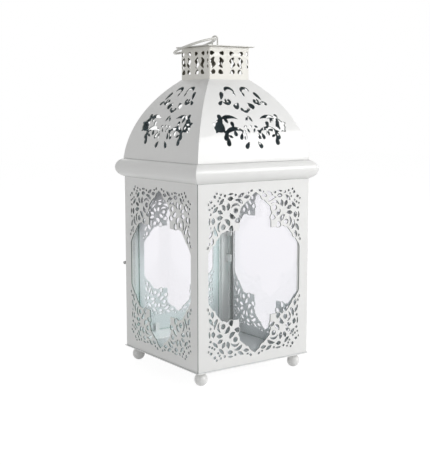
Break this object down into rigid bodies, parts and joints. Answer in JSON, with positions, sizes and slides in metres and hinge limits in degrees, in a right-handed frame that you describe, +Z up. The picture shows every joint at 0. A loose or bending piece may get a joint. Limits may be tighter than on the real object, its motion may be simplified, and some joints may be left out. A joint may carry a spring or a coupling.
{
  "type": "candle lantern",
  "caption": "Square white metal candle lantern with lace-pierced walls, glass panes, a back door, a pierced dome and collar, ball feet and a ring handle.",
  "frame": {"origin": "on the surface it stands on, under the middle of the body", "axes": "+Z up, -Y toward the front wall, +Y toward the door, +X to the right"},
  "size_m": [0.1324, 0.1324, 0.2987],
  "materials": {
    "white_paint": "semi-gloss white enamel",
    "cream_paint": "semi-gloss warm white enamel",
    "screw_steel": "zinc-plated",
    "green_glass": "clear float glass with a green edge"
  },
  "bodies": {
    "body": {"base_plate": "white_paint", "foot_front_left": "white_paint", "foot_front_right": "white_paint", "foot_back_left": "white_paint", "foot_back_right": "white_paint", "foot_screws": "screw_steel", "post_front_left": "white_paint", "post_front_right": "white_paint", "post_back_left": "white_paint", "post_back_right": "white_paint", "front_lattice": "white_paint", "left_lattice": "white_paint", "right_lattice": "white_paint", "front_glass": "green_glass", "left_glass": "green_glass", "right_glass": "green_glass", "upper_hinge_fixed_leaf": "white_paint", "lower_hinge_fixed_leaf": "white_paint", "upper_hinge_pin": "screw_steel", "lower_hinge_pin": "screw_steel", "latch_rivet": "screw_steel", "cornice": "white_paint", "dome_front": "white_paint", "dome_left": "white_paint", "dome_right": "white_paint", "dome_back": "white_paint", "collar": "cream_paint", "top_plate": "white_paint", "handle_staple": "white_paint"},
    "door": {"door_lattice": "white_paint", "door_glass": "green_glass", "door_glass_clips": "white_paint", "upper_hinge_door_leaf": "white_paint", "lower_hinge_door_leaf": "white_paint"},
    "latch": {"latch_button": "white_paint"},
    "ring": {"ring_handle": "white_paint"}
  },
  "joints": [
    {"name": "door_hinge", "type": "hinge", "parent": "body", "child": "door", "pos_m": [0.0575, 0.06182, 0.0927], "axis": [0, 0, -1], "range_deg": [0, 115]},
    {"name": "latch_turn", "type": "hinge", "parent": "body", "child": "latch", "pos_m": [-0.0567, 0.0611, 0.0917], "axis": [0, 1, 0], "range_deg": [0, 180]},
    {"name": "ring_swing", "type": "hinge", "parent": "body", "child": "ring", "pos_m": [0, 0, 0.29563], "axis": [0.7071, 0.7071, 0], "range_deg": [0, 217]}
  ]
}
